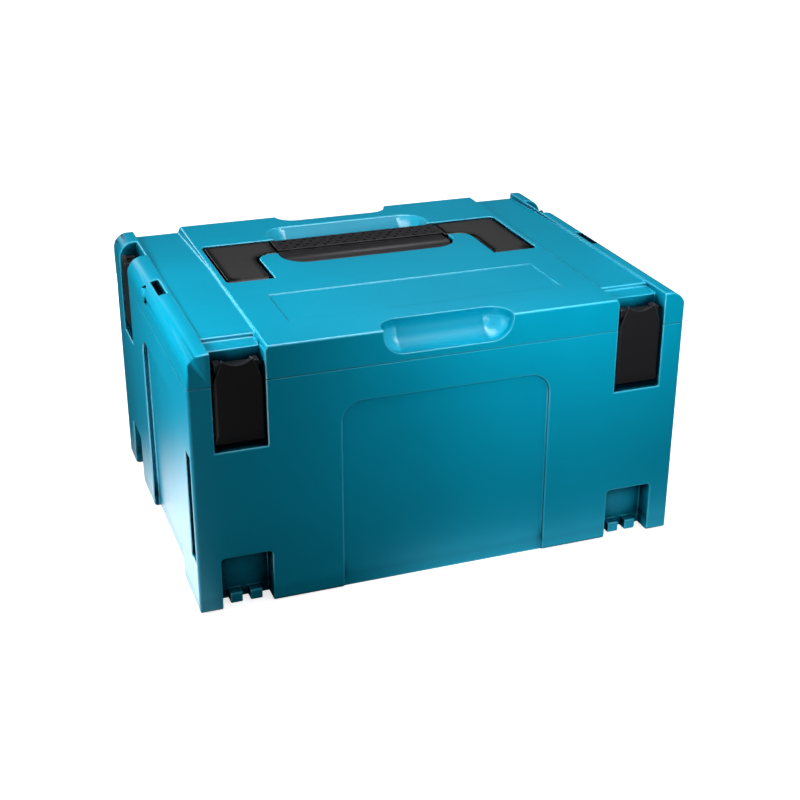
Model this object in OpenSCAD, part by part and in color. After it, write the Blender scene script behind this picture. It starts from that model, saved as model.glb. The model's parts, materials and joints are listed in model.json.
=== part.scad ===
// Stackable hard tool case: hollow base, rear-hinged lid with a fold-down
// carrying handle, and four two-link latches that close the lid and reach up
// to couple the next case. Millimetres. Origin: bottom centre. Front is -Y.

/* [Case] */
// Overall width, left to right
case_w = 396; // [380:1:420]
// Overall depth, front to back
case_d = 296; // [284:1:320]
// Height of the base up to the seam
base_h = 184; // [170:1:240]
// Height of the lid above the seam
lid_h = 26; // [26:0.5:30]
// Thickness of the moulded walls
wall = 3; // [2.5:0.1:3.4]
// Radius of the upright corners
corner_r = 2.5; // [1.5:0.5:4]
// Radius along the bottom edges
foot_r = 3; // [2:0.5:5]
// Gap between the shells at the seam
seam_gap = 0.3; // [0.2:0.05:0.5]
// How far the back of the base sits inside the back of the lid
back_step = 1; // [1:0.1:1.5]

/* [Lid] */
// Radius of the rails along the lid's two long sides
rail_r = 14; // [10:1:16]
// Width of each rail, from the side of the case inwards
rail_w = 18; // [18:0.5:22]
// Width of the raised middle of the lid
plateau_w = 280; // [274:1:282]
// Rounding of the lid's front and back top edges
brow_r = 1.6; // [1:0.2:2.4]
// Depth of the side channels below the top, at the back
channel_back = 5.3; // [4:0.1:6]
// Depth of the side channels below the top, in front
channel_front = 1.4; // [1:0.1:2]
// Where the channels stop rising, from the middle of the case
channel_ramp_y = 30; // [10:1:40]
// Slope of the plateau's side edges, as a run over their height
plateau_bevel = 3; // [2:0.5:4]
// Depth of the bare panel in front of the handle
panel_sink = 0.8; // [0.5:0.1:1.2]
// Width of the bare panel
panel_w = 222; // [180:1:230]
// Radius of the crescents beside the strap slots
strap_r = 7; // [5:0.5:8]
// Depth of the crescents beside the strap slots
strap_cut = 5; // [3:0.5:6]
// Height of the guide lip that stands inside the lid
lip_h = 2.5; // [1.5:0.5:3.5]

/* [Scoops] */
// Length of the finger scoops at the front and back edges
scoop_len = 102; // [90:1:120]
// Radius of the scoops' hollow
scoop_r = 17; // [16:0.5:19]
// How far the front scoop reaches back over the top
scoop_reach = 21; // [18:0.5:22]
// How far the front scoop reaches down the front
scoop_drop = 20; // [17:0.5:20]
// Reach of the back scoop over the top
back_reach = 16; // [13:0.5:18]

/* [Latches] */
// Width of a latch pocket
pocket_w = 39.5; // [38:0.5:42]
// Depth of a latch pocket behind the face
pocket_d = 16; // [15:0.5:17]
// Height of the latch pocket's floor
pocket_z = 132; // [128:1:136]
// Middle of the front latches, from the middle of the case
front_latch_x = 160.25; // [159:0.25:161]
// Middle of the side latches, in front of the back of the case
side_latch_back = 49; // [47:1:56]
// Width of a latch plate
plate_w = 37; // [35:0.5:37]
// Thickness of a latch plate
plate_t = 3; // [2.6:0.1:3.2]
// Width of the slopes along the sides of a latch plate
plate_slope = 2.4; // [1.5:0.1:3]
// Height of the slope at the foot of a latch plate
plate_foot = 8; // [6:0.5:9]
// How far a latch plate sits behind the case's face
plate_in = 1.2; // [1:0.1:1.6]
// Height of a latch plate above its pivot
plate_rise = 60.2; // [58:0.2:61]
// Half the distance between the tips of a plate's horns
horn_half = 11.25; // [9:0.25:12]
// Depth of the finger notch between the horns
horn_notch = 4.3; // [3:0.1:5]
// Height over which the plate tapers into its horns
horn_taper = 18; // [12:0.5:19]
// Height of the plate's pivot above the pocket floor
pivot_up = 10; // [9.8:0.1:11]
// Depth of both latch pivots behind the case's face
pivot_in = 10.5; // [10.2:0.1:11]
// Length of a latch link, pivot to pivot
link_len = 13; // [12:0.5:14]
// Width of a latch link
link_w = 25; // [20:0.5:26]
// Radius of the latch pins
latch_pin_r = 1.3; // [1:0.1:1.5]
// Radius of the latch knuckles
latch_knuckle_r = 2.7; // [2.4:0.1:2.8]

/* [Coupling pockets] */
// Height of the coupling pockets in the base's foot
foot_pocket_h = 44; // [36:1:48]
// Height of the coupling teeth
tooth_h = 8.5; // [6:0.5:10]
// Width of a coupling tooth
tooth_w = 9.6; // [8:0.2:11]
// Gap between a pair of coupling teeth
tooth_gap = 6; // [5:0.2:8]
// How far the teeth sit behind the face
tooth_in = 7.4; // [7.2:0.1:9]

/* [Faces] */
// Width of the sunk front panel
front_panel_w = 168; // [140:1:190]
// Height of the sunk front panel
front_panel_h = 157; // [140:1:160]
// Depth of the sunk front panel
front_panel_d = 3; // [2:0.25:4]
// Depth of the sunk side panels
side_panel_d = 5; // [3:0.25:6]
// Back end of the sunk side panels, from the middle
side_panel_back = 32; // [26:1:40]
// Front end of the sunk side panels, from the middle
side_panel_front = 92; // [80:1:98]
// Radius of the panels' upper corners
panel_r = 16; // [10:1:20]
// Depth of the slots cored out of the corner posts
post_slot_d = 11; // [8:0.5:12]

/* [Handle] */
// Overall width of the handle
handle_w = 264; // [256:1:266]
// Length of the handle, pivot end to back edge
handle_len = 91.5; // [88:0.5:94]
// Back edge of the handle, from the middle of the case
handle_back = 82.5; // [80:0.5:84]
// Width of each side plate
side_plate_w = 35; // [30:0.5:38]
// Width of the arms that reach in to the grip
arm_d = 32; // [28:0.5:34]
// Length of the grip
grip_len = 149; // [130:1:150]
// Gap between the grip and the arms
grip_gap = 1.2; // [0.6:0.1:1.6]
// Thickness of the side plates
handle_t = 11.5; // [10:0.5:11.5]
// Radius of the grip's round front
grip_r = 14; // [12:0.5:14.5]
// Radius of the grip's front corners, seen from above
grip_end_r = 20; // [14:1:22]
// Depth of the flat, dimpled strip on the grip
grip_flat_d = 26.5; // [24:0.5:28]
// Gap between the handle and its well
well_gap = 2; // [1.5:0.1:2.2]
// Depth of the handle well below the top
well_d = 18.5; // [18.5:0.25:19.5]
// Radius of the handle pins
handle_pin_r = 2.5; // [2:0.1:3]
// Width of the square dimples
dimple = 2.8; // [1.5:0.1:3]
// Distance between dimples in a row
dimple_pitch = 9; // [7.5:0.5:12]

/* [Hinge] */
// Radius of the hinge knuckles
hinge_r = 4.5; // [4:0.1:4.8]
// Radius of the hinge pins
hinge_pin_r = 2; // [1.5:0.1:2.4]
// Middle of each hinge, from the middle of the case
hinge_x = 125; // [110:1:135]
// Length of each hinge
hinge_len = 52; // [44:1:60]
// Running clearance of pins in their bores
run = 0.08; // [0.04:0.01:0.1]
// Clearance between the knuckles
play = 0.4; // [0.3:0.05:0.6]

/* [Hidden] */
$fn = 64;

shell_colour = [0, 0.52, 0.6];
black_colour = [0.13, 0.13, 0.14];
steel_colour = [0.6, 0.61, 0.63];

half_w = case_w / 2;
front_y = -case_d / 2;
back_y = case_d / 2;
base_back_y = back_y - back_step;
top_z = base_h + lid_h;
lid_z = base_h + seam_gap;
over = 1;                       // how far a cut runs past a face

// Hinge axis: the rim is rounded about it, so the lid clears the base
hinge_y = back_y - hinge_r;
hinge_z = base_h - hinge_r;
hinge_clear = hinge_r + 2.4;    // room for the lid's swinging knuckle arms
knuckle_n = 5;
knuckle_pitch = hinge_len / knuckle_n;

// Latch layout, in the latch's own frame: face at y = 0, outwards is -Y
side_latch_y = back_y - side_latch_back;
pivot_z = pocket_z + pivot_up;
anchor_z = pivot_z + link_len;
plate_half = plate_w / 2;
pocket_half = pocket_w / 2;
plate_tail = 5;                             // plate below its pivot
foot_d = 2;                                 // how far the foot bends in
hook_tip = pocket_d - 3.8;                  // how far in the hooks reach
catch_in = hook_tip + 0.3;
hook_z = pivot_z + plate_rise - 9.2;        // underside of the hooks
hook_top = pivot_z + plate_rise - horn_notch - 0.6;
hook_half = 16.4;
shoulder = 2;                               // rise of the hook's two ends
plate_back = plate_in + plate_t;
slope_d = 1.6;                              // depth of the plate's side slopes
catch_h = 6;
tooth_mid = (tooth_w + tooth_gap) / 2;
lug_w = 4;
lug_x = link_w / 2 + 0.7 + lug_w / 2;

// Lid channels
channel_in = plateau_w / 2;
rail_in = half_w - rail_w;
brow_y = front_y + 32;                      // where the front ledge begins
ledge_drop = 3;                             // fall of that ledge
ledge_slope = 1.5;

// Handle layout
handle_front = handle_back - handle_len;
pivot_r = handle_t / 2;
handle_top = top_z - 0.5;
pivot_y = handle_front + pivot_r;
handle_z = handle_top - pivot_r;
well_z = top_z - well_d;
well_floor_z = well_z - wall + 0.5;
grip_z = well_z + 1.5;
grip_nose = [handle_back - 48.5, grip_z - 2];     // middle of the front round
grip_brow = grip_nose + [14, 2.8];            // middle of the round behind it
grip_front = grip_nose[0] - grip_r;
frame_in = grip_len / 2 + grip_gap - 0.3;       // where the arms end
handle_half = handle_w / 2;
plate_in_x = handle_half - side_plate_w;
arm_y = handle_back - arm_d;
bar_y = handle_back - 24;
bar_d = 20;
bar_z = handle_top - 13.5;
bar_h = 7;
island_r = 12;
fold_r = island_r + well_gap;

latch_sites = [
    [-front_latch_x, front_y, 0],
    [front_latch_x, front_y, 0],
    [-half_w, side_latch_y, -90],
    [half_w, side_latch_y, 90]
];

// ---- Helpers ----

// Extrudes an (x, z) outline from y0 to y1
module along_y(y0, y1) {
    translate([0, y1, 0])
        rotate([90, 0, 0])
            linear_extrude(y1 - y0)
                children();
}

// Extrudes a (y, z) outline from x0 to x1
module along_x(x0, x1) {
    translate([x0, 0, 0])
        rotate([90, 0, 90])
            linear_extrude(x1 - x0)
                children();
}

// Extrudes an (x, y) outline from z0 to z1
module along_z(z0, z1) {
    translate([0, 0, z0])
        linear_extrude(z1 - z0)
            children();
}

// Box between two corners
module box(low, high) {
    translate(low)
        cube(high - low);
}

// Flat rectangle between two corners
module rect(low, high) {
    translate(low)
        square(high - low);
}

// Rectangle with four round corners
module round_rect(low, high, r) {
    rect(low + [r, 0], high - [r, 0]);
    rect(low + [0, r], high - [0, r]);
    for (x = [low[0] + r, high[0] - r], y = [low[1] + r, high[1] - r])
        translate([x, y])
            circle(r);
}

// Rectangle whose two upper corners are round
module arch_rect(low, high, r) {
    rect(low, high - [0, r]);
    rect(low + [r, 0], [high[0] - r, high[1]]);
    for (x = [low[0] + r, high[0] - r])
        translate([x, high[1] - r])
            circle(r);
}

// Rectangle whose two lower corners are round
module cradle_rect(low, high, r) {
    rect(low + [0, r], high);
    rect(low + [r, 0], [high[0] - r, high[1]]);
    for (x = [low[0] + r, high[0] - r])
        translate([x, low[1] + r])
            circle(r);
}

// Both sides of the case
module both_sides() {
    children();
    mirror([1, 0, 0])
        children();
}

// Places a latch's own frame at one of its four sites
module at_latch(i) {
    translate([latch_sites[i][0], latch_sites[i][1], 0])
        rotate([0, 0, latch_sites[i][2]])
            children();
}

// Cylinder lying along X, centred on x = 0
module rod(r, length) {
    rotate([0, 90, 0])
        cylinder(r = r, h = length, center = true);
}

// ---- Shapes both shells share ----

// Long hollow with ball ends, cut across a top edge
module edge_scoop(edge_y, reach, drop, grow) {
    chord = sqrt(reach * reach + drop * drop);
    lift = sqrt(scoop_r * scoop_r - chord * chord / 4);
    back = sign(edge_y);
    straight = scoop_len / 2 - scoop_r + 1;
    translate([
        0,
        edge_y - back * reach / 2 + back * lift * drop / chord,
        top_z - drop / 2 + lift * reach / chord
    ]) {
        rod(scoop_r + grow, 2 * straight);
        for (x = [-straight, straight])
            translate([x, 0, 0])
                sphere(scoop_r + grow);
    }
}

// ---- Base ----

module base_outer() {
    intersection() {
        along_z(0, base_h)
            round_rect([-half_w, front_y], [half_w, base_back_y], corner_r);
        along_y(front_y - over, back_y + over)
            cradle_rect([-half_w, 0], [half_w, base_h], foot_r);
        along_x(-half_w - over, half_w + over)
            union() {
                cradle_rect([front_y, 0], [base_back_y, hinge_z], foot_r);
                rect([front_y, hinge_z - over], [hinge_y, base_h]);
                translate([hinge_y, hinge_z])
                    circle(hinge_r);
            }
    }
}

module base_cavity() {
    box([-half_w + wall, front_y + wall, wall + 0.5],
        [half_w - wall, base_back_y - wall, base_h + over]);
}

// Latch pocket in the base, or its housing when grown by a wall
module base_latch_pocket(grow) {
    box([-pocket_half - grow, -over, pocket_z - grow],
        [pocket_half + grow, pocket_d + grow, base_h + over]);
}

// Coupling pocket at the foot, open in front and below
module foot_pocket(grow) {
    along_y(-over, pocket_d + grow)
        arch_rect([-pocket_half - grow, -over], [pocket_half + grow, foot_pocket_h + grow], 3 + grow);
}

module coupling_teeth() {
    for (x = [-tooth_mid, tooth_mid])
        translate([x, 0, 0])
            box([-tooth_w / 2, tooth_in, 0], [tooth_w / 2, pocket_d + wall / 2, tooth_h]);
}

// Slot cored out of a corner post beside the front latches
module post_slot(grow) {
    box([half_w - post_slot_d - grow, front_y + 4 - grow, foot_pocket_h - 2 - grow],
        [half_w + over, front_y + 20 + grow, pocket_z - 2 + grow]);
}

module front_panel(grow) {
    along_y(front_y - over, front_y + front_panel_d + grow)
        arch_rect([-front_panel_w / 2 - grow, -over],
            [front_panel_w / 2 + grow, front_panel_h + grow], panel_r + grow);
}

module side_panel(grow) {
    along_x(half_w - side_panel_d - grow, half_w + over)
        arch_rect([-side_panel_front - grow, -over],
            [side_panel_back + grow, front_panel_h + grow], panel_r + grow);
}

// Solid block behind each hinge
module hinge_block() {
    box([hinge_x - hinge_len / 2 - wall, base_back_y - wall - 8, hinge_z - hinge_clear - wall],
        [hinge_x + hinge_len / 2 + wall, base_back_y - wall / 2, base_h]);
}

// Room for the lid's knuckles and their arms
module hinge_rooms() {
    for (k = [1, 3])
        translate([hinge_x - hinge_len / 2 + k * knuckle_pitch - play, 0, 0])
            along_x(0, knuckle_pitch + 2 * play)
                union() {
                    translate([hinge_y, hinge_z])
                        circle(hinge_clear);
                    rect([hinge_y, hinge_z - hinge_clear], [back_y + over, hinge_z]);
                    rect([hinge_y - hinge_clear, hinge_z], [back_y + over, base_h + over]);
                }
}

module guide_lip() {
    out = wall + 0.5;
    difference() {
        box([-half_w + out, front_y + out, base_h - 6], [half_w - out, back_y - 40, base_h + lip_h]);
        box([-half_w + out + 2, front_y + out + 2, base_h - 7],
            [half_w - out - 2, back_y, base_h + lip_h + over]);
        edge_scoop(front_y, scoop_reach, scoop_drop, wall + play);
        for (i = [0:3])
            at_latch(i)
                translate([-pocket_half - wall - play, -over, base_h])
                    cube([pocket_w + 2 * (wall + play), pocket_d + wall + play, lip_h + over]);
    }
}

module base_shell() {
    color(shell_colour)
        difference() {
            union() {
                difference() {
                    base_outer();
                    base_cavity();
                }
                intersection() {
                    base_outer();
                    union() {
                        for (i = [0:3])
                            at_latch(i) {
                                base_latch_pocket(wall);
                                foot_pocket(wall);
                            }
                        both_sides() {
                            post_slot(wall);
                            side_panel(wall);
                            hinge_block();
                        }
                        front_panel(wall);
                    }
                }
                guide_lip();
            }
            for (i = [0:3])
                at_latch(i) {
                    base_latch_pocket(0);
                    difference() {
                        foot_pocket(0);
                        coupling_teeth();
                    }
                    translate([0, pivot_in, anchor_z])
                        rod(latch_pin_r, pocket_w + 5);
                }
            both_sides() {
                post_slot(0);
                side_panel(0);
                hinge_rooms();
                translate([hinge_x, hinge_y, hinge_z])
                    rod(hinge_pin_r, hinge_len);
            }
            front_panel(0);
        }
}

// ---- Lid ----

module lid_outer() {
    intersection() {
        along_z(lid_z, top_z)
            round_rect([-half_w, front_y], [half_w, back_y], corner_r);
        along_y(front_y - over, back_y + over)
            arch_rect([-half_w, base_h], [half_w, top_z], rail_r);
        along_x(-half_w - over, half_w + over)
            arch_rect([front_y, base_h], [back_y, top_z], brow_r);
    }
}

// Everything above the channel between the plateau and a rail
module channel_air() {
    intersection() {
        along_x(channel_in - plateau_bevel, rail_in)
            polygon([
                [back_y + over, top_z - channel_back],
                [channel_ramp_y, top_z - channel_front],
                [brow_y, top_z - channel_front],
                [brow_y - 1, top_z - channel_front - ledge_drop],
                [front_y - over, top_z - channel_front - ledge_drop - ledge_slope],
                [front_y - over, top_z + over],
                [back_y + over, top_z + over]
            ]);
        along_y(front_y - over, back_y + over)
            polygon([
                [channel_in - plateau_bevel / 2 - plateau_bevel / 6, top_z + over],
                [channel_in - plateau_bevel / 2, top_z],
                [channel_in + 1, top_z - channel_back],
                [channel_in + 1, top_z - channel_back - 4],
                [rail_in, top_z - channel_back - 4],
                [rail_in, top_z + over]
            ]);
    }
}

module lid_cavity() {
    skin = wall + 0.5;
    along_y(front_y + wall, back_y - wall)
        union() {
            rect([-half_w + wall, base_h - over], [half_w - wall, top_z - channel_back - ledge_drop - wall]);
            rect([-channel_in + skin, base_h], [channel_in - skin, top_z - skin]);
        }
}

// Open notch for a latch, through the lid's rim and top
module lid_latch_notch(grow) {
    box([-pocket_half - grow, -over, base_h - over],
        [pocket_half + grow, pocket_d + grow, top_z + over]);
}

// Rib that the latch hooks close over
module latch_catch() {
    box([-pocket_half - over, catch_in, hook_z - catch_h - 0.3],
        [pocket_half + over, pocket_d + over, hook_z - 0.3]);
}

// Plan of the handle well, or of the handle when shrunk
module handle_plan(gap) {
    difference() {
        round_rect([-handle_half - gap, handle_front - gap], [handle_half + gap, handle_back + gap], 3 + gap);
        translate([0, handle_front - gap - over])
            round_rect([-plate_in_x + gap, -20], [plate_in_x - gap, arm_y - handle_front + over],
                fold_r - gap);
    }
}

module grip_plan(gap) {
    half = grip_len / 2 + gap;
    round_rect([-half, grip_front - gap], [half, handle_back + gap], grip_end_r + gap);
    rect([-half, handle_back - grip_flat_d], [half, handle_back + gap]);
}

module handle_well() {
    along_z(well_z, top_z + over) {
        handle_plan(well_gap);
        grip_plan(well_gap);
    }
}

// Skin that carries the well, below the lid's top
module well_housing() {
    low = [-handle_half - well_gap - wall, handle_front - well_gap - wall];
    high = [handle_half + well_gap + wall, handle_back + well_gap + wall];
    difference() {
        box([low[0], low[1], well_floor_z], [high[0], high[1], top_z - 2]);
        box([-plate_in_x + well_gap + wall, low[1] - over, well_floor_z - over],
            [plate_in_x - well_gap - wall, grip_front - well_gap - wall, top_z - wall - 0.5]);
    }
}

// Hollow behind the grip for the fingers
module finger_hollow(grow) {
    half = grip_len / 2 - 22;
    r = 24;
    translate([0, handle_back + 13, top_z + 12]) {
        rod(r + grow, 2 * half);
        for (x = [-half, half])
            translate([x, 0, 0])
                sphere(r + grow);
    }
}

// Strap slot through a rail, from the top out to the side
module strap_slot() {
    box([half_w - 14.5, -17, top_z - 9], [half_w - 8, 17, top_z + over]);
    along_x(half_w - 14, half_w + over)
        polygon([[-6, top_z - 14], [6, top_z - 14], [4, top_z - 8.5], [-6, top_z - 10]]);
    along_x(half_w - strap_cut, half_w + over)
        difference() {
            translate([15.5, top_z - 11])
                circle(strap_r);
            translate([17.5, top_z - 13.5])
                circle(strap_r);
        }
}

module lid_knuckles() {
    for (k = [1, 3])
        translate([hinge_x - hinge_len / 2 + k * knuckle_pitch, 0, 0])
            along_x(0, knuckle_pitch)
                difference() {
                    union() {
                        translate([hinge_y, hinge_z])
                            circle(hinge_r);
                        rect([hinge_y - hinge_r, hinge_z], [back_y, lid_z + 2]);
                    }
                    translate([hinge_y, hinge_z])
                        circle(hinge_pin_r + run);
                }
}

module lid_shell() {
    color(shell_colour)
        difference() {
            union() {
                difference() {
                    lid_outer();
                    lid_cavity();
                }
                intersection() {
                    lid_outer();
                    union() {
                        for (i = [0:3])
                            at_latch(i)
                                lid_latch_notch(wall);
                        well_housing();
                        edge_scoop(front_y, scoop_reach, scoop_drop, wall);
                        edge_scoop(back_y, back_reach, back_reach, wall);
                        finger_hollow(wall);
                    }
                }
                both_sides()
                    lid_knuckles();
            }
            both_sides() {
                channel_air();
                strap_slot();
            }
            for (i = [0:3])
                at_latch(i)
                    difference() {
                        lid_latch_notch(0);
                        latch_catch();
                    }
            edge_scoop(front_y, scoop_reach, scoop_drop, 0);
            edge_scoop(back_y, back_reach, back_reach, 0);
            handle_well();
            finger_hollow(0);
            box([-panel_w / 2, front_y + 43, top_z - panel_sink], [panel_w / 2, front_y + 101, top_z + over]);
            both_sides()
                translate([handle_half, pivot_y, handle_z])
                    rod(handle_pin_r, 16);
        }
}

// ---- Hinge pins ----

module hinge_pin() {
    color(steel_colour)
        translate([hinge_x, hinge_y, hinge_z])
            rod(hinge_pin_r, hinge_len);
}

// ---- Handle ----

module handle_frame() {
    color(black_colour)
        difference() {
            intersection() {
                along_z(well_z, top_z)
                    union() {
                        difference() {
                            handle_plan(0);
                            rect([-frame_in, -case_d], [frame_in, case_d]);
                        }
                        rect([-frame_in - 2, bar_y], [frame_in + 2, bar_y + bar_d]);
                    }
                along_x(-handle_half, handle_half)
                    union() {
                        rect([pivot_y, handle_top - handle_t], [handle_back, handle_top]);
                        translate([pivot_y, handle_z])
                            circle(pivot_r);
                    }
                union() {
                    box([-frame_in, bar_y, bar_z], [frame_in, bar_y + bar_d, bar_z + bar_h]);
                    both_sides()
                        box([frame_in, -case_d, well_z], [handle_half, case_d, top_z]);
                }
            }
            both_sides()
                translate([handle_half, pivot_y, handle_z])
                    rod(handle_pin_r + run, 16);
        }
}

// Section of the grip: a flat strip behind a broad round front
module grip_section() {
    along = (grip_brow - grip_nose) / norm(grip_brow - grip_nose);
    up = grip_r * [-along[1], along[0]];
    intersection() {
        union() {
            for (middle = [grip_nose, grip_brow])
                translate(middle)
                    circle(grip_r);
            polygon([grip_nose, grip_brow, grip_brow + up, grip_nose + up]);
        }
        rect([grip_front, grip_z], [handle_back, top_z]);
    }
    rect([grip_brow[0], grip_z], [handle_back, grip_brow[1] + grip_r - 0.4]);
    rect([handle_back - grip_flat_d, grip_z], [handle_back, handle_top]);
}

module grip_dimples() {
    rows = 4;
    row_pitch = grip_flat_d / rows * 0.9;
    per_row = floor((grip_len - 14) / dimple_pitch) + 1;
    for (r = [0:rows - 1], n = [0:per_row - 1 - r % 2])
        translate([
            (n - (per_row - 1 - r % 2) / 2) * dimple_pitch,
            handle_back - grip_flat_d / 2 + (r - (rows - 1) / 2) * row_pitch,
            handle_top
        ])
            rotate([0, 0, 45])
                cube([dimple, dimple, 2.4], center = true);
}

module handle_grip() {
    color(black_colour)
        difference() {
            intersection() {
                along_x(-grip_len / 2 + 0.3, grip_len / 2 - 0.3)
                    grip_section();
                along_z(grip_z - over, top_z)
                    grip_plan(-0.3);
            }
            box([-grip_len, bar_y, bar_z], [grip_len, bar_y + bar_d, bar_z + bar_h]);
            grip_dimples();
        }
}

module handle_pin() {
    color(steel_colour)
        translate([handle_half, pivot_y, handle_z])
            rod(handle_pin_r, 16);
}

// ---- Latches, each in its own frame ----

// Front view of the plate, with horns and a round finger notch
module plate_face() {
    top = pivot_z + plate_rise;
    notch_r = (horn_half * horn_half + horn_notch * horn_notch) / 2 / horn_notch;
    difference() {
        polygon([
            [-plate_half, 0],
            [plate_half, 0],
            [plate_half, top - horn_taper],
            [horn_half, top],
            [-horn_half, top],
            [-plate_half, top - horn_taper]
        ]);
        translate([0, top - horn_notch + notch_r])
            circle(notch_r);
    }
}

// Side section of the plate, its foot bent inwards
module plate_section() {
    foot_z = pivot_z - plate_tail;
    polygon([
        [plate_in, pivot_z + plate_rise],
        [plate_in, foot_z + plate_foot],
        [plate_in + foot_d, foot_z],
        [plate_back + foot_d, foot_z],
        [plate_back, foot_z + plate_foot],
        [plate_back, pivot_z + plate_rise]
    ]);
}

// Plan of the plate, sloped off along its sides
module plate_plan() {
    polygon([
        [-plate_half, pocket_d],
        [-plate_half, plate_in + slope_d],
        [-plate_half + plate_slope, plate_in],
        [plate_half - plate_slope, plate_in],
        [plate_half, plate_in + slope_d],
        [plate_half, pocket_d]
    ]);
}

// Bar behind the plate that closes over the lid's rib
module plate_hook() {
    box([-hook_half, plate_back - 0.5, hook_z], [hook_half, hook_tip, hook_top]);
    for (x = [-hook_half, horn_half])
        box([x, plate_back - 0.5, hook_z], [x + hook_half - horn_half, hook_tip, hook_top + shoulder]);
}

module plate_lugs() {
    for (x = [-lug_x, lug_x])
        translate([x - lug_w / 2, 0, 0])
            along_x(0, lug_w)
                difference() {
                    union() {
                        translate([pivot_in, pivot_z])
                            circle(latch_knuckle_r);
                        rect([plate_in + plate_t - 0.5, pivot_z - latch_knuckle_r],
                            [pivot_in, pivot_z + latch_knuckle_r]);
                    }
                    translate([pivot_in, pivot_z])
                        circle(latch_pin_r + run);
                }
}

module latch_plate(i) {
    color(black_colour)
        at_latch(i)
            union() {
                intersection() {
                    along_x(-plate_half, plate_half)
                        plate_section();
                    along_y(0, pocket_d)
                        plate_face();
                    along_z(0, top_z)
                        plate_plan();
                }
                plate_hook();
                plate_lugs();
            }
}

// The link's web lies to one side, so the raised plate can still unhook
module latch_link(i) {
    color(black_colour)
        at_latch(i)
            along_x(-link_w / 2, link_w / 2)
                difference() {
                    union() {
                        for (z = [pivot_z, anchor_z])
                            translate([pivot_in, z])
                                circle(latch_knuckle_r);
                        rect([pivot_in - latch_knuckle_r, pivot_z], [pivot_in, anchor_z]);
                    }
                    for (z = [pivot_z, anchor_z])
                        translate([pivot_in, z])
                            circle(latch_pin_r + run);
                }
}

// Pin that carries the link in the base
module latch_anchor(i) {
    color(steel_colour)
        at_latch(i)
            translate([0, pivot_in, anchor_z])
                rod(latch_pin_r, pocket_w + 5);
}

// Pin between the link and the plate
module latch_pivot(i) {
    color(steel_colour)
        at_latch(i)
            translate([0, pivot_in, pivot_z])
                rod(latch_pin_r, 2 * lug_x + lug_w);
}

base_shell();
lid_shell();
mirror([1, 0, 0]) hinge_pin();  // hinge_pin_left
hinge_pin();  // hinge_pin_right
handle_frame();
handle_grip();
mirror([1, 0, 0]) handle_pin();  // handle_pin_left
handle_pin();  // handle_pin_right
latch_plate(0);  // latch_plate_front_left
latch_plate(1);  // latch_plate_front_right
latch_plate(2);  // latch_plate_side_left
latch_plate(3);  // latch_plate_side_right
latch_link(0);  // latch_link_front_left
latch_link(1);  // latch_link_front_right
latch_link(2);  // latch_link_side_left
latch_link(3);  // latch_link_side_right
latch_anchor(0);  // latch_anchor_front_left
latch_anchor(1);  // latch_anchor_front_right
latch_anchor(2);  // latch_anchor_side_left
latch_anchor(3);  // latch_anchor_side_right
latch_pivot(0);  // latch_pivot_front_left
latch_pivot(1);  // latch_pivot_front_right
latch_pivot(2);  // latch_pivot_side_left
latch_pivot(3);  // latch_pivot_side_right
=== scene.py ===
# %% [markdown]
# # A stackable hard tool case
# The case is a hollow moulded box: a base, a lid hinged along the back, a
# handle that folds into the lid and four hooked latches. Its solids come from
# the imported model, in metres. Here they get the soft moulded edges, the fine
# surface and the light that solids alone don't have.

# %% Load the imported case
import json
import math

import bmesh
import bpy
from mathutils import Euler, Matrix, Vector
from mathutils.bvhtree import BVHTree


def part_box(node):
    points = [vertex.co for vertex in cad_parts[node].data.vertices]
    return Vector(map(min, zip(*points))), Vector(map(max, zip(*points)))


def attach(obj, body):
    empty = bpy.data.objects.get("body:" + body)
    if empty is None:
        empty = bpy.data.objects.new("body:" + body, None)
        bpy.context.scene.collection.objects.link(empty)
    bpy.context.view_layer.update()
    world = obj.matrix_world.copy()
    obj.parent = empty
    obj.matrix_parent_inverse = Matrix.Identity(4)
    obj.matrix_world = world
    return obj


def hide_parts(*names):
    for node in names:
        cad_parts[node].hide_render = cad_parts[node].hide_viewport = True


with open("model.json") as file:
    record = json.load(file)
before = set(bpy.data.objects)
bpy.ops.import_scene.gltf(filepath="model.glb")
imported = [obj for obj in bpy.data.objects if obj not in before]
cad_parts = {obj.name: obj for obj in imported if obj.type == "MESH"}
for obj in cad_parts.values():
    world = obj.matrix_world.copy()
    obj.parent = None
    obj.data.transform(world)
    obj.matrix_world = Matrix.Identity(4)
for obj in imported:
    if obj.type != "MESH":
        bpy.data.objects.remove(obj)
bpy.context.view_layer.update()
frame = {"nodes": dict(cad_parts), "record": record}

MM = 0.001

# %% [markdown]
# ## The camera
# The case is seen from its left front corner and a little above, as if it
# stood on a low table. A long lens keeps the upright edges nearly parallel.
# The camera is turned by angles, then rolled about its own line of sight, so
# each number can be read by itself.

# %% Camera
CAMERA_AT = Vector((-0.36339, -1.03845, 0.58415))
LOOK_DOWN = math.radians(24.4586)
LOOK_ASIDE = math.radians(20.0172)
ROLL = math.radians(0.1397)
LENS = 63.155               # focal length and sensor width, in millimetres
SENSOR = 36

camera_data = bpy.data.cameras.new("camera")
camera_data.lens = LENS
camera_data.sensor_width = SENSOR
camera = bpy.data.objects.new("camera", camera_data)
bpy.context.collection.objects.link(camera)
aim = Euler((math.pi / 2 - LOOK_DOWN, 0, -LOOK_ASIDE)).to_matrix()
camera.matrix_world = Matrix.Translation(CAMERA_AT) @ (
    aim @ Matrix.Rotation(ROLL, 3, "Z")).to_4x4()
bpy.context.scene.camera = camera
print("camera looks down", round(math.degrees(LOOK_DOWN), 1), "degrees")

# %% [markdown]
# ## Writing networks of nodes
# A finish, the floor and the sky are each a small network of nodes. Wiring
# one by hand takes many lines, so one class wraps a socket and lets sums be
# written as sums, and one method adds any other node.

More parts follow.
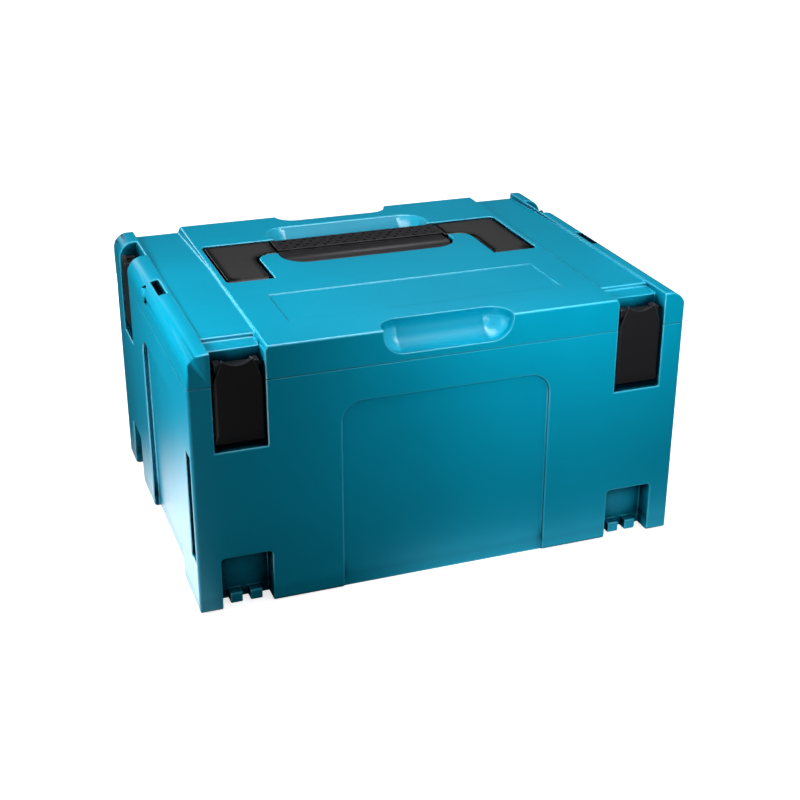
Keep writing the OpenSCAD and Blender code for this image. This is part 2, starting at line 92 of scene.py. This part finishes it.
# %% Sockets and networks
class Wire:
    """The output of a node, which can be added, multiplied and so on."""

    def __init__(self, network, socket):
        self.network, self.socket = network, socket

    def sum(self, operation, first, second):
        return self.network.node(
            "ShaderNodeMath", {"operation": operation}, {0: first, 1: second})

    def __add__(self, other):
        return self.sum("ADD", self, other)

    def __radd__(self, other):
        return self.sum("ADD", other, self)

    def __sub__(self, other):
        return self.sum("SUBTRACT", self, other)

    def __rsub__(self, other):
        return self.sum("SUBTRACT", other, self)

    def __mul__(self, other):
        return self.sum("MULTIPLY", self, other)

    def __rmul__(self, other):
        return self.sum("MULTIPLY", other, self)

    def between(self, low, high):
        """0 below low, 1 above high, with a soft step between them."""
        return self.network.node(
            "ShaderNodeMapRange", {"interpolation_type": "SMOOTHSTEP"},
            {"Value": self, "From Min": low, "From Max": high})


class Network:
    """The nodes of a material or of the world."""

    def __init__(self, holder):
        holder.use_nodes = True
        self.holder, self.tree = holder, holder.node_tree

    def node(self, kind, settings, values, output=0):
        """Adds a node, sets it up, joins its sockets and gives one output."""
        made = self.tree.nodes.new(kind)
        for label, value in settings.items():
            setattr(made, label, value)
        for label, value in values.items():
            if isinstance(value, Wire):
                self.tree.links.new(value.socket, made.inputs[label])
            else:
                made.inputs[label].default_value = value
        return Wire(self, made.outputs[output]) if made.outputs else None

    def where(self, space="Object"):
        """The point that is shaded, in the piece's own coordinates or others."""
        return self.node("ShaderNodeTexCoord", {}, {}, space)

    def axis(self, point, letter):
        """One coordinate of a point."""
        return self.node("ShaderNodeSeparateXYZ", {}, {0: point}, letter)

    def ray(self, kind):
        """1 for rays of one kind, such as "Is Camera Ray", and 0 for the rest."""
        return self.node("ShaderNodeLightPath", {}, {}, kind)

    def glow(self, kind, strength):
        """White light of its own, as a Background or an Emission node."""
        return self.node("ShaderNode" + kind, {}, {"Color": (1, 1, 1, 1), "Strength": strength})

    def matte(self, colour):
        """A shader with no gloss at all."""
        return self.node("ShaderNodeBsdfDiffuse", {}, {"Color": (*colour, 1)})

    def either(self, factor, first, second):
        """One shader where the factor is 0 and another where it is 1."""
        return self.node("ShaderNodeMixShader", {}, {0: factor, 1: first, 2: second})

    def show(self, shader, kind):
        """Makes a shader the whole look of a Material or a World."""
        for old in [node for node in self.tree.nodes if node.type.startswith("OUTPUT")]:
            self.tree.nodes.remove(old)
        self.node("ShaderNodeOutput" + kind, {}, {"Surface": shader})


# %% [markdown]
# ## Light
# A product studio splits two jobs that one lamp does badly. Soft panels give
# the plastic its brightness: a large one overhead, one high in front, and
# small ones close to the left side and to the right end of the front, so that
# the front falls off towards the left. Two low fills serve the back and the
# right side. Bright cards give the gloss something to mirror. So a card is
# hidden from matte light and a fill from gloss, and each can be set by itself.

# %% Lamps
def soft_panel(name, at, towards, size, power, spread=180, card=False, fill=False):
    """A lamp that the camera doesn't see. A card lights only gloss, a fill all but gloss."""
    data = bpy.data.lights.new(name, "AREA")
    data.shape = "RECTANGLE"
    data.size, data.size_y = size
    data.energy = power
    data.spread = math.radians(spread)
    lamp = bpy.data.objects.new(name, data)
    bpy.context.collection.objects.link(lamp)
    lamp.visible_camera = False
    lamp.visible_diffuse, lamp.visible_glossy = not card, not fill
    lamp.location = at
    lamp.rotation_euler = (Vector(towards) - Vector(at)).to_track_quat("-Z", "Y").to_euler()


soft_panel("overhead panel", (0, 0, 2.0), (0, 0, 0), (1.2, 1.2), 17)
soft_panel("left panel", (-0.62, -0.05, 0.45), (-0.198, -0.12, 0.17), (0.2, 0.2), 0.85,
           spread=85, fill=True)
soft_panel("right panel", (0.08, -0.41, 0.3), (0.12, -0.148, 0.237), (0.12, 0.12), 0.3,
           spread=108, fill=True)
soft_panel("front panel", (0.4, -0.53, 1.2), (0, -0.1, 0.15), (0.22, 0.22), 1.3)
soft_panel("gloss card", (0.48, -0.55, 1.5), (0, 0, 0.18), (0.5, 1.1), 6, card=True)
soft_panel("rear gloss card", (0.5, 1.15, 1.2), (0, 0.04, 0.2), (0.25, 0.25), 0.6, card=True)
soft_panel("left rear gloss card", (-0.45, 1.15, 0.5), (-0.19, -0.1, 0.2), (0.22, 0.22), 0.7,
           card=True)
soft_panel("back fill", (0, 0.65, 0.1), (0, 0, 0.1), (0.38, 0.18), 1.7, fill=True)
soft_panel("right fill", (0.7, 0, 0.1), (0, 0, 0.1), (0.28, 0.18), 1.3, fill=True)

# %% [markdown]
# ## The world around
# The world is white where the camera sees it. A case that mirrored all of that
# white would look washed out, so gloss sees only a pale band near the horizon,
# and matte surfaces get a weak even glow that opens the shadows.

# %% World
HORIZON = (0.16, 0.26)      # rise of a ray over which the pale horizon ends
MATTE_SKY = 0.2             # brightness of the sky for matte surfaces
LOW_SKY = 0.10              # and for gloss, near the horizon
HIGH_SKY = 0.02             # and above it

world = bpy.data.worlds.new("studio")
bpy.context.scene.world = world
sky = Network(world)
rise = sky.axis(sky.where("Generated"), "Z")
mirrored = LOW_SKY - (LOW_SKY - HIGH_SKY) * rise.between(*HORIZON)
brightness = (sky.ray("Is Camera Ray") + MATTE_SKY * sky.ray("Is Diffuse Ray")
              + mirrored * sky.ray("Is Glossy Ray"))
sky.show(sky.glow("Background", brightness), "World")
print("world:", world.name)

# %% [markdown]
# ## Writing a finish
# A finish is a network around one Principled shader. What is the same all
# over a piece is set on the shader as a plain number, and only what varies
# gets a node.
#
# Two masks follow the shape and place colour that stands in for light: painted
# highlights, and on the handle a painted dark reflection, along the outer edges,
# and painted shade in the pockets. They could be painted by hand, but the
# Ambient Occlusion node finds both. Cast inwards it finds thin places, which are
# the outer edges, and cast outwards it finds walls close by, which are the
# pockets. The floor too hides part of the sky from the foot of the case, as a
# wall would, so about that much is taken off again near the floor.

# %% Finishes
MASK_SAMPLES = 6            # rays that feel for walls and edges at each point
FLOOR_SHARE = 0.25          # how much the mask is lowered at the foot, for the floor
FLOOR_REACH = 0.4           # and up to what height, in reaches of the mask


class Finish(Network):
    """A material with one Principled shader."""

    def __init__(self, name, **plain):
        super().__init__(bpy.data.materials.new(name))
        self.shader = self.tree.nodes["Principled BSDF"]
        self.surface = Wire(self, self.shader.outputs[0])
        for label, value in plain.items():
            self.shader.inputs[label.replace("_", " ")].default_value = value
        self.place = self.where()

    def feed(self, label, wire):
        """Joins something that varies to the shader."""
        self.tree.links.new(wire.socket, self.shader.inputs[label])

    def noise(self, scale, detail=2):
        """Soft cloudy noise, in features per metre."""
        return self.node("ShaderNodeTexNoise", {}, {
            "Vector": self.place, "Scale": scale, "Detail": detail}, "Fac")

    def tint(self, factor, first, second):
        """A colour between two others."""
        first, second = (value if isinstance(value, Wire) else (*value, 1)
                         for value in (first, second))
        return self.node(
            "ShaderNodeMix", {"data_type": "RGBA"}, {0: factor, 6: first, 7: second}, 2)

    def bump(self, height, depth, rounding):
        """Tiny relief over softened edges, both sizes in metres."""
        soft = self.node("ShaderNodeBevel", {"samples": MASK_SAMPLES}, {"Radius": rounding})
        self.feed("Normal", self.node("ShaderNodeBump", {}, {
            "Height": height, "Distance": depth, "Normal": soft}))

    def near_edge(self, reach, low, high):
        """1 along the outer edges, where the solid is thin as seen from inside."""
        solid = self.node("ShaderNodeAmbientOcclusion", {
            "samples": MASK_SAMPLES, "inside": True, "only_local": True},
            {"Distance": reach}, "AO")
        return (1 - solid).between(low, high)

    def painted_recess_shade_mask(self, reach, low, high):
        """1 down in holes and pockets, where walls close by hide the sky: where the painted
        shade goes.
        """
        open_sky = self.node("ShaderNodeAmbientOcclusion", {
            "samples": MASK_SAMPLES}, {"Distance": reach}, "AO")
        height = self.axis(self.place, "Z")
        floor_hides = FLOOR_SHARE * (1 - height.between(0, FLOOR_REACH * reach))
        return (1 - open_sky - floor_hides).between(low, high)


# %% [markdown]
# ## The moulded plastics
# The shells are one through-coloured plastic whose mould was spark-eroded, so
# the surface has a grain of about a millimetre. Light rubbing has polished it
# in patches. The colour barely changes, so two noises far apart in size are
# enough: a fine one for relief and a broad one for polish. Outer edges are
# polished smoother and painted in a colour of their own, paler as a painted
# highlight, or darker as a painted reflection where a finish asks for it. Deep
# pockets get painted shade: they are painted nearly black and have no gloss,
# so there a matte shader takes over.

# %% Moulded plastic
GRAIN = 900                 # features of the grain per metre
GRAIN_DEPTH = 0.03 * MM
GRAIN_GLOSS = 0.06          # how much the grain changes the roughness
CLOUDS = 9                  # features of the rubbed patches per metre
CLOUD_GLOSS = 0.08          # how much a rubbed patch changes the roughness
CLOUD_TINT = 0.05           # and the colour, as a share of it
EDGE_POLISH = 0.1           # how much smoother a rubbed edge is
WIDEST_SOFTENING = 1.5 * MM


def grey(level):
    return (level, level, level)


def moulded(name, colour, rough, shine, edge, edge_reach, painted_shade_colour, painted_shade_reach,
            edge_range=(0.16, 0.36), painted_shade_range=(0.3, 0.6)):
    """A satin moulded plastic with grain, patchy polish, polished edges painted in a colour
    that stands for light, and painted shade in recesses.

    The ranges give the two values between which a mask goes from nothing to full.
    """
    finish = Finish(name, IOR=1.46, Specular_IOR_Level=shine)
    broad, fine = finish.noise(CLOUDS, 3), finish.noise(GRAIN)
    plain = finish.tint(broad.between(0.3, 0.7),
                        [c * (1 - CLOUD_TINT) for c in colour],
                        [c * (1 + CLOUD_TINT) for c in colour])
    # Painted light along the outer edges: their colour is painted paler for a painted
    # highlight, or darker for a painted reflection, as each finish gives it; the edges are also
    # polished smoother.
    edge_polish_and_painted_light = finish.near_edge(edge_reach, *edge_range)
    # Painted shade: in pockets and hollows the colour is painted near black, with no gloss.
    painted_recess_shade = finish.painted_recess_shade_mask(painted_shade_reach, *painted_shade_range)
    finish.feed("Base Color", finish.tint(edge_polish_and_painted_light, plain, edge))
    finish.feed("Roughness", rough + (broad - 0.5) * CLOUD_GLOSS + (fine - 0.5) * GRAIN_GLOSS
                - edge_polish_and_painted_light * EDGE_POLISH)
    finish.bump(fine, GRAIN_DEPTH, min(edge_reach, WIDEST_SOFTENING))
    # Where the painted shade mask is full, a near-black matte shader is painted in.
    finish.show(finish.either(painted_recess_shade, finish.surface, finish.matte(painted_shade_colour)), "Material")
    return finish.holder


# What the two teal finishes have in common.
# The near-black recess colour of both teal finishes is painted shade in the pockets.
shells = {"edge_reach": 1.5 * MM, "edge_range": (0.15, 0.4),
          "painted_shade_colour": (0.0, 0.015, 0.03), "painted_shade_reach": 32 * MM, "painted_shade_range": (0.34, 0.52)}
# The paler edge colour of the teal is a painted highlight.
teal = moulded("teal shell plastic", (0.0, 0.345, 0.535), rough=0.36, shine=0.25,
               edge=(0.03, 0.46, 0.68), **shells)
# A lighter copy of the teal for rounded edges and fillets: a painted highlight, with more
# gloss.
teal_edge_painted_highlight = moulded("teal polished edge with painted highlight", (0.02, 0.50, 0.74), rough=0.24, shine=1.0,
                    edge=(0.10, 0.56, 0.78), **shells)
# The wide band along the frame's outer edges is painted near black, a painted reflection of the
# dark well; its recess colour is painted shade.
handle_black = moulded("handle black plastic", (0.038, 0.036, 0.037), rough=0.42, shine=0.4,
                       edge=grey(0.0015), edge_reach=6 * MM, edge_range=(0.12, 0.2),
                       painted_shade_colour=grey(0.002), painted_shade_reach=10 * MM)
# A darker copy of the handle black for the rounded slopes: a painted reflection of the dark
# well, with more gloss; its slightly lighter edge colour is a painted highlight.
handle_edge_painted_reflection = moulded("handle polished edge with painted reflection", grey(0.0015), rough=0.26, shine=0.6,
                      edge=grey(0.004), edge_reach=1 * MM,
                      painted_shade_colour=grey(0.001), painted_shade_reach=10 * MM)
# The grip's edges are painted a little paler, a painted highlight, and its dimples near black,
# painted shade.
grip_black = moulded("grip black plastic", (0.022, 0.021, 0.024), rough=0.3, shine=0.5,
                     edge=(0.03, 0.03, 0.034), edge_reach=0.8 * MM,
                     painted_shade_colour=grey(0.0005), painted_shade_reach=2.2 * MM, painted_shade_range=(0.1, 0.35))
# The latch rims are painted grey, a painted highlight, and its hollows near black, painted
# shade.
latch_black = moulded("latch black plastic", (0.017, 0.017, 0.019), rough=0.3, shine=0.12,
                      edge=(0.16, 0.16, 0.17), edge_reach=0.8 * MM,
                      painted_shade_colour=grey(0.0005), painted_shade_reach=6 * MM)
print("plastics:", [m.name for m in (
    teal, teal_edge_painted_highlight, handle_black, handle_edge_painted_reflection, grip_black, latch_black)])

# %% [markdown]
# ## Steel pins
# The pins are drawn wire, cut to length. Drawing leaves long faint lines, and
# turning leaves rings. Plain fine noise in the colour, the gloss and the
# relief stands for either, because the pins are thin and mostly hidden.

# %% Drawn steel
DRAW_LINES = 700            # features of the drawn surface per metre

steel_finish = Finish("drawn steel", Metallic=1.0)
streak = steel_finish.noise(DRAW_LINES, 3)
steel_finish.feed("Base Color", steel_finish.tint(
    streak, (0.42, 0.43, 0.45), (0.62, 0.63, 0.65)))
steel_finish.feed("Roughness", 0.22 + streak * 0.2)
steel_finish.bump(streak, 0.01 * MM, 0.2 * MM)
steel = steel_finish.holder
print("metal:", steel.name)

# %% [markdown]
# ## Which edges to soften
# No moulded edge is sharp: each has a small radius, and at this size the
# radius is what catches the light. The solids have knife edges, and a Bevel
# modifier can round them, but one width for all would fold the small ledges
# over. Every run of edges therefore gets a weight: the room that its faces
# leave, as a share of the full radius. A low step is shared by its upper and
# its lower edge. The seam between the shells stays sharp, and so do the edges
# inside the closed case, which nobody sees.

# %% Edges that can be seen
LIFT = 0.2 * MM             # how far off the surface a ray starts


def closed_case():
    """The two shells as one tree that rays can be cast against."""
    points, faces = [], []
    for node in ("base_shell", "lid_shell"):
        mesh = frame["nodes"][node].data
        first = len(points)
        points += [vertex.co.copy() for vertex in mesh.vertices]
        faces += [[first + i for i in polygon.vertices] for polygon in mesh.polygons]
    print("rays are cast against", len(faces), "faces")
    return BVHTree.FromPolygons(points, faces)


CASE = closed_case()


def seen_from_outside(edge):
    """Whether a ray from the edge leaves the closed case."""
    middle = (edge.verts[0].co + edge.verts[1].co) / 2
    first, second = (face.normal for face in edge.link_faces)
    upwards = Vector((0, 0, 0.8))
    for way in (first + second, first + 0.3 * second, second + 0.3 * first,
                first + second + upwards, first + second - upwards):
        way = way.normalized()
        if CASE.ray_cast(middle + way * LIFT, way, 1.0)[0] is None:
            return True
    return False


# %% Room beside an edge
SEAM = 184.15 * MM          # height of the joint between the shells
SEAM_WITHIN = 1 * MM
STEP_SHARE = 0.45           # share of a low step that one of its two edges can take
SHORT_SHARE = 0.12          # share of a run's length whose narrow places don't count
LEAST_FIT = 0.15            # an edge with less room than this share isn't rounded
FEELERS = (0.1, 0.5, 0.9)   # places along an edge where the room is measured
TOUCHING = 0.001 * MM
SQUARE = 0.999              # share of a normal along one axis, for a face square to it


def room(loop, sharp, share):
    """How wide a face lets one of its edges be rounded, by how far it reaches inwards."""
    start, end = loop.vert.co, loop.link_loop_next.vert.co
    along = (end - start).normalized()
    inward = loop.face.normal.cross(along)
    # The wall of a step is square to an axis. The facets of a curve aren't.
    square = max(abs(part) for part in loop.face.normal) > SQUARE
    widest = 1.0
    for part_way in FEELERS:
        here = start.lerp(end, part_way)
        for other in loop.face.loops:
            left, right = other.vert.co - here, other.link_loop_next.vert.co - here
            x0, x1 = left.dot(along), right.dot(along)
            if other is loop or (x0 > 0) == (x1 > 0):
                continue
            reach = left.dot(inward) + (right - left).dot(inward) * x0 / (x0 - x1)
            if reach > TOUCHING:
                step = square and other.edge in sharp
                widest = min(widest, reach * (STEP_SHARE if step else share))
    return widest


def chains(edges):
    """Groups edges that run on into each other."""
    leader = {edge: edge for edge in edges}

    def head(edge):
        while leader[edge] is not edge:
            edge = leader[edge]
        return edge

    for vertex in {vertex for edge in edges for vertex in edge.verts}:
        meeting = [edge for edge in vertex.link_edges if edge in leader]
        if len(meeting) == 2:
            leader[head(meeting[0])] = head(meeting[1])
    groups = {}
    for edge in edges:
        groups.setdefault(head(edge), []).append(edge)
    return groups.values()


def run_width(edges, sharp, share):
    """The width that a run of edges can take, but for its few narrowest places."""
    widths = sorted((min(room(loop, sharp, share) for loop in edge.link_loops),
                     edge.calc_length()) for edge in edges)
    short = SHORT_SHARE * sum(length for width, length in widths)
    for width, length in widths:
        short -= length
        if short <= 0:
            break
    return width


def weigh_edges(mesh, radius, angle, share, shell):
    """Marks the sharp edges with the share of the radius that each can take."""
    work = bmesh.new()
    work.from_mesh(mesh)
    weight = work.edges.layers.float.new("bevel_weight_edge")
    sharp = dict.fromkeys(
        edge for edge in work.edges
        if len(edge.link_loops) == 2 and edge.calc_face_angle(0) > math.radians(angle)
        and (not shell or seen_from_outside(edge)))
    for edges in chains(sharp):
        fit = min(1, run_width(edges, sharp, share) / radius)
        for edge in edges:
            at_seam = all(abs(vertex.co.z - SEAM) < SEAM_WITHIN for vertex in edge.verts)
            edge[weight] = 0 if at_seam or fit < LEAST_FIT else fit
    work.to_mesh(mesh)
    work.free()
    return len(sharp)


# %% [markdown]
# ## Rounded copies of the shells
# A copy of each solid is merged and its flat triangles are joined into whole
# faces, because a bevel can only run along an edge between two whole faces.
# The rounded faces get their own finish: more polished, as edges are in use,
# and painted paler on the shells, a painted highlight, and darker on the handle
# frame, a painted reflection of its dark well. So do the narrow fillets that the
# shells already have above and in front, which face forwards and up.
# Weighted normals then keep the large faces flat beside the round ones.

# %% Rounding
WELD = 0.02 * MM            # distance within which points are merged
FLAT = math.radians(0.5)    # angle under which two triangles are one face
SMOOTH = math.radians(40)   # angle under which shading runs on
SEGMENTS = 3                # strips of a rounded edge
FLATTENING = 50             # how much the large faces count in the normals
BROW_TILT = 0.15            # least lean of a fillet's strip forwards and up
BROW_WIDTH = 1.5 * MM


def select_only(piece):
    """Selects one object and makes it the active one."""
    bpy.ops.object.select_all(action="DESELECT")
    piece.select_set(True)
    bpy.context.view_layer.objects.active = piece


def body_of(node):
    """The moving body that a node belongs to."""
    bodies = frame["record"]["behaviour"]["bodies"]
    return next(body for body, nodes in bodies.items() if node in nodes)


def is_brow(mesh, polygon):
    """Whether a face is one strip of a fillet that looks forwards and up."""
    corners = [mesh.vertices[i].co for i in polygon.vertices]
    longest = max((a - b).length for a, b in zip(corners, corners[1:] + corners[:1]))
    return (polygon.normal.y < -BROW_TILT and polygon.normal.z > BROW_TILT
            and polygon.area / longest < BROW_WIDTH)


def merged_copy(node, name, shape):
    """A copy of a node's solid in whole faces, reshaped in edit mode if need be."""
    mesh = frame["nodes"][node].data.copy()
    mesh.name = name
    piece = bpy.data.objects.new(name, mesh)
    bpy.context.collection.objects.link(piece)
    select_only(piece)
    bpy.ops.object.mode_set(mode="EDIT")
    bpy.ops.mesh.select_all(action="SELECT")
    bpy.ops.mesh.remove_doubles(threshold=WELD)
    bpy.ops.mesh.dissolve_limited(angle_limit=FLAT)
    if shape:
        shape(mesh)
    bpy.ops.object.mode_set(mode="OBJECT")
    return piece


def rounded(node, name, radius, finish, painted_light_edge_finish=None, angle=25, share=1.0,
            shell=False, shape=None):
    """A merged copy of a node, with rounded edges, that takes its place."""
    piece = merged_copy(node, name, shape)
    mesh = piece.data
    mesh.materials.clear()
    mesh.materials.append(finish)
    if painted_light_edge_finish:
        mesh.materials.append(painted_light_edge_finish)
    for polygon in mesh.polygons:
        # Fillet strips that face forwards and up get the edge finish, whose paler colour is a
        # painted highlight.
        polygon.material_index = 1 if shell and is_brow(mesh, polygon) else 0
        polygon.use_smooth = True
    edges = weigh_edges(mesh, radius, angle, share, shell)

    bevel = piece.modifiers.new("rounding", "BEVEL")
    bevel.width = radius
    bevel.segments = SEGMENTS
    bevel.limit_method = "WEIGHT"
    bevel.use_clamp_overlap = False
    if painted_light_edge_finish:
        bevel.material = 1
    bpy.ops.object.modifier_apply(modifier="rounding")
    # No corner of the copy may leave the box of the solid.
    lowest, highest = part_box(node)
    for vertex in mesh.vertices:
        vertex.co = [max(a, min(b, value)) for a, b, value in zip(lowest, highest, vertex.co)]

    bpy.ops.object.shade_smooth_by_angle(angle=SMOOTH)
    weighted = piece.modifiers.new("flat faces", "WEIGHTED_NORMAL")
    weighted.keep_sharp = True
    weighted.mode = "FACE_AREA"
    weighted.weight = FLATTENING
    bpy.ops.object.modifier_apply(modifier="flat faces")
    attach(piece, body_of(node))
    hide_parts(node)
    print(name, edges, "edges,", len(mesh.polygons), "faces")
    return piece


# %% Shells
SHELL_EDGE = 1.0 * MM
SHELL_SHARE = 3             # a rim beside the narrow facets of a curve may reach past one

base = rounded("base_shell", "base_rounded", SHELL_EDGE, teal, teal_edge_painted_highlight,
               share=SHELL_SHARE, shell=True)
lid = rounded("lid_shell", "lid_rounded", SHELL_EDGE, teal, teal_edge_painted_highlight,
              share=SHELL_SHARE, shell=True)

# %% [markdown]
# ## The handle
# The handle is a black frame that lies flush in its well, with a separate
# grip snapped over its bar. Its upper edges have a wide polished slope that
# would mirror the dark well; that darkness is painted into their colour, a
# painted reflection, so they look blacker than the flat top. The grip's edges
# are only broken.
#
# A dead flat flank would flash all at once. The real one is slightly crowned,
# so it is cut into strips across its width and swelled in the middle. A
# subdivision surface would soften the crisp edges beside it too.

# %% A crowned flank for the grip
FLANK = Vector((0, -0.2, 0.98)).normalized()   # the way that the flank faces
FLANK_WITHIN = math.cos(math.radians(4))
CROWN = 1.3 * MM            # swelling at the middle of its width
STRIPS = 8


def crown_flank(mesh):
    """Cuts the sloping flank into strips and swells them towards the middle."""
    work = bmesh.from_edit_mesh(mesh)

    def flank_faces():
        return [face for face in work.faces if face.normal.dot(FLANK) > FLANK_WITHIN]

    ends = [vertex.co.y for face in flank_faces() for vertex in face.verts]
    low, high = min(ends), max(ends)
    for strip in range(1, STRIPS):
        bpy.ops.mesh.select_all(action="DESELECT")
        for face in flank_faces():
            face.select = True
        bmesh.update_edit_mesh(mesh)
        cut = low + (high - low) * strip / STRIPS
        bpy.ops.mesh.bisect(plane_co=(0, cut, 0), plane_no=(0, 1, 0))
        work = bmesh.from_edit_mesh(mesh)
    for vertex in {vertex for face in flank_faces() for vertex in face.verts}:
        along = 2 * (vertex.co.y - low) / (high - low) - 1
        vertex.co += FLANK * CROWN * (1 - along * along)
    bmesh.update_edit_mesh(mesh)
    print("flank from", round(low / MM, 1), "to", round(high / MM, 1), "mm, crowned",
          round(CROWN / MM, 1), "mm")


# %% Handle
FRAME_EDGE = 2.2 * MM
GRIP_EDGE = 0.5 * MM
GRIP_ANGLE = 50             # only edges sharper than this are broken, in degrees

rounded("handle_frame", "frame_rounded", FRAME_EDGE, handle_black, handle_edge_painted_reflection)
rounded("handle_grip", "grip_rounded", GRIP_EDGE, grip_black, angle=GRIP_ANGLE,
        shape=crown_flank)

# %% [markdown]
# ## The latches
# Each latch is a black plate on a link. The rims of the plate are broken by
# up to half a millimetre and painted grey, a painted highlight that draws a
# thin line of light along the hooked top.

# %% Latches
PLATE_EDGE = 0.5 * MM
PLATE_SHARE = 0.6           # share of a face that one rounded edge may take

for site in ("front_left", "front_right", "side_left", "side_right"):
    rounded("latch_plate_" + site, "plate_rounded_" + site, PLATE_EDGE, latch_black,
            share=PLATE_SHARE)

# %% [markdown]
# ## The small parts
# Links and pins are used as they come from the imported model: they are small,
# mostly hidden, and turned or stamped with crisp edges. They only need their
# finish, which follows from what a part is called.

# %% Finishes on the parts that are carried over
PINS = ("pin", "anchor", "pivot")


def dress(piece, finish):
    """Gives a piece one finish all over."""
    piece.data.materials.clear()
    piece.data.materials.append(finish)


for label, piece in frame["nodes"].items():
    if any(word in label for word in PINS):
        dress(piece, steel)
    elif "shell" in label:
        dress(piece, teal)
    else:
        dress(piece, handle_black if "handle" in label else latch_black)
print("dressed", len(frame["nodes"]), "parts of the packed model")

# %% [markdown]
# ## The floor
# A plain white floor, large enough to fill the view. Seen straight from the
# camera it glows a little, and fully white further off, so it has no edge,
# while its matte part still takes the shadow of the case. Light that bounces
# off it is weaker, as from a table beyond the sheet of paper. Two patches of
# it are brighter: gloss mirrors one along the left side, and the other lifts
# the foot of the front.

# %% Floor
FLOOR_SIZE = 24
PAPER, TABLE = grey(0.8), grey(0.05)    # what the camera and what bounced light sees
NEAR_GLOW, FAR_GLOW = 0.75, 1.0
FAR_OFF = (0.35, 0.9)       # distance over which the floor turns fully white
SIDE_GLOW, FRONT_GLOW = 3.9, 1.2        # brightness of the two patches
# Where each patch begins and ends, in metres from the middle of the floor.
SIDE_START, SIDE_STOP, SIDE_BACK = (0.17, 0.19), (0.3, 0.6), (-0.02, 0.2)
FRONT_LEFT, FRONT_START, FRONT_STOP = (-0.09, 0.02), (-0.182, -0.176), (-0.14, -0.13)


def band(wire, start, stop):
    """1 between two soft steps."""
    return wire.between(*start) * (1 - wire.between(*stop))


bpy.ops.object.select_all(action="DESELECT")
bpy.ops.mesh.primitive_plane_add(size=FLOOR_SIZE, location=(0, 0, 0))
floor = bpy.context.active_object
floor.name = "floor"
paper = Network(bpy.data.materials.new("white floor"))
spot = paper.where()
across, along = paper.axis(spot, "X"), paper.axis(spot, "Y")
beside = band(0 - across, SIDE_START, SIDE_STOP) * (1 - along.between(*SIDE_BACK))
before = across.between(*FRONT_LEFT) * band(along, FRONT_START, FRONT_STOP)
patches = (SIDE_GLOW * paper.ray("Is Glossy Ray") * beside
           + FRONT_GLOW * paper.ray("Is Diffuse Ray") * before)
away = paper.node("ShaderNodeVectorMath", {"operation": "LENGTH"}, {0: spot}, "Value")
white = NEAR_GLOW + (FAR_GLOW - NEAR_GLOW) * away.between(*FAR_OFF)
seen = paper.ray("Is Camera Ray")
matte = paper.either(seen, paper.matte(TABLE), paper.matte(PAPER))
lit = paper.either(seen, paper.glow("Emission", patches), paper.glow("Emission", white))
paper.show(paper.node("ShaderNodeAddShader", {}, {0: matte, 1: lit}), "Material")
dress(floor, paper.holder)
print("floor:", FLOOR_SIZE, "metres wide")

# %% [markdown]
# ## The view transform
# The plain view transform shows colours as they are written. Dressing
# mustn't change the size.

# %% View transform
bpy.context.scene.view_settings.view_transform = "Standard"
